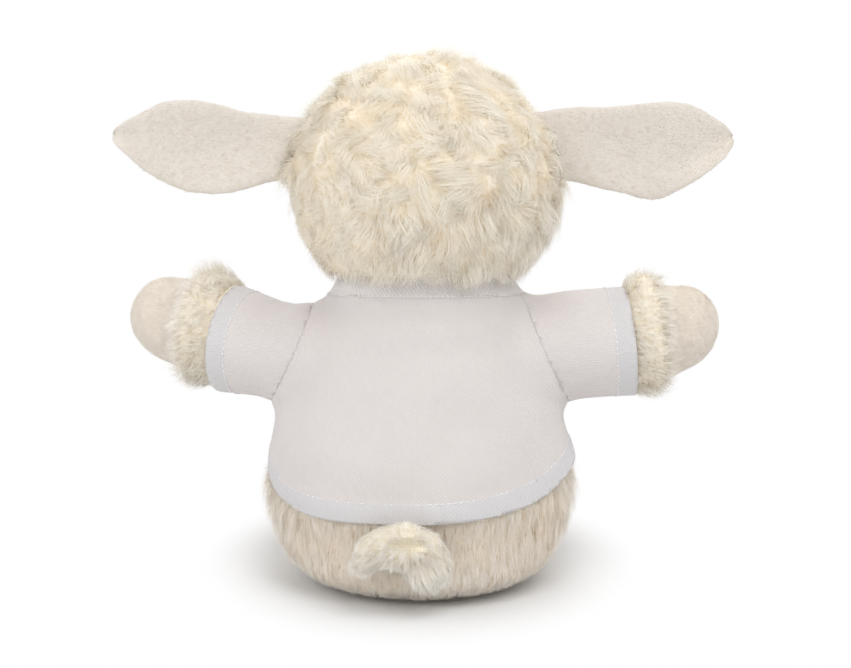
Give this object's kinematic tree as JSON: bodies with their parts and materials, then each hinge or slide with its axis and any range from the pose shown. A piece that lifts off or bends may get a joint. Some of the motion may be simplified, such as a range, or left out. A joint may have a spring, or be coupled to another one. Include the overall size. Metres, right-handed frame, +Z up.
{
  "type": "plush toy",
  "caption": "seated stuffed lamb with shaggy fur, soft ears, legs, arms and tail on flexible seams, wearing a plain short-sleeved jersey T-shirt",
  "frame": {"origin": "middle of the flat patch of seat that the toy sits on, on the surface that it sits on", "axes": "+Z up; the toy faces -Y, so its tail and the pictured side are at +Y; +X is the toy's left, along the spread ears"},
  "size_m": [0.221, 0.1542, 0.1929],
  "materials": {
    "fur": "long-pile faux fur",
    "short_pile": "short-pile plush",
    "jersey": "fine knit",
    "filling": "fibre filling",
    "bag": "woven bag of pellets",
    "eye": "polished",
    "washer": "moulded",
    "thread": "satin-stitched thread"
  },
  "bodies": {
    "torso": {"body_skin": "fur", "body_filling": "filling", "pellet_bag": "bag", "shirt_back": "jersey", "shirt_front": "jersey", "neckband": "jersey"},
    "neck": {"neck_filling": "filling"},
    "head": {"head_skin": "fur", "head_filling": "filling", "face_skin": "short_pile", "nose": "thread", "mouth_stitch": "thread", "eye_left": "eye", "eye_right": "eye", "eye_washer_left": "washer", "eye_washer_right": "washer"},
    "tail": {"tail_skin": "fur"},
    "ear_left": {"ear_left_back": "short_pile", "ear_left_front": "short_pile"},
    "arm_left": {"arm_left_skin": "fur", "hand_left_skin": "short_pile", "arm_left_filling": "filling", "sleeve_left": "jersey"},
    "leg_left": {"leg_left_skin": "fur", "foot_left_skin": "short_pile", "leg_left_filling": "filling"},
    "ear_right": {"ear_right_back": "short_pile", "ear_right_front": "short_pile"},
    "arm_right": {"arm_right_skin": "fur", "hand_right_skin": "short_pile", "arm_right_filling": "filling", "sleeve_right": "jersey"},
    "leg_right": {"leg_right_skin": "fur", "foot_right_skin": "short_pile", "leg_right_filling": "filling"}
  },
  "joints": [
    {"name": "head_turn", "type": "hinge", "parent": "torso", "child": "neck", "pos_m": [-0.0015, 0, 0.108], "axis": [0, 0, 1], "range_deg": [-25, 25], "stiffness_Nm_per_rad": 0.4},
    {"name": "head_nod", "type": "hinge", "parent": "neck", "child": "head", "pos_m": [-0.0015, 0, 0.108], "axis": [1, 0, 0], "range_deg": [-10, 12], "stiffness_Nm_per_rad": 0.4},
    {"name": "arm_left_hug", "type": "hinge", "parent": "torso", "child": "arm_left", "pos_m": [0.037, 0, 0.084], "axis": [0, 0, -1], "range_deg": [-25, 20], "stiffness_Nm_per_rad": 0.1},
    {"name": "arm_right_hug", "type": "hinge", "parent": "torso", "child": "arm_right", "pos_m": [-0.037, 0, 0.084], "axis": [0, 0, 1], "range_deg": [-15, 30], "stiffness_Nm_per_rad": 0.1},
    {"name": "leg_left_lift", "type": "hinge", "parent": "torso", "child": "leg_left", "pos_m": [0.026, -0.033, 0.0195], "axis": [-0.9703, -0.2419, 0], "range_deg": [-8, 12], "stiffness_Nm_per_rad": 0.15},
    {"name": "leg_right_lift", "type": "hinge", "parent": "torso", "child": "leg_right", "pos_m": [-0.026, -0.033, 0.0195], "axis": [-0.9703, 0.2419, 0], "range_deg": [-8, 12], "stiffness_Nm_per_rad": 0.15},
    {"name": "ear_left_flop", "type": "hinge", "parent": "head", "child": "ear_left", "pos_m": [0.0425, 0, 0.156], "axis": [0, 1, 0], "range_deg": [-20, 25], "stiffness_Nm_per_rad": 0.03},
    {"name": "ear_right_flop", "type": "hinge", "parent": "head", "child": "ear_right", "pos_m": [-0.0455, 0, 0.156], "axis": [0, -1, 0], "range_deg": [-20, 25], "stiffness_Nm_per_rad": 0.03},
    {"name": "tail_lift", "type": "hinge", "parent": "torso", "child": "tail", "pos_m": [0.0055, 0.04976, 0.026], "axis": [1, 0, 0], "range_deg": [0, 35], "stiffness_Nm_per_rad": 0.02}
  ]
}
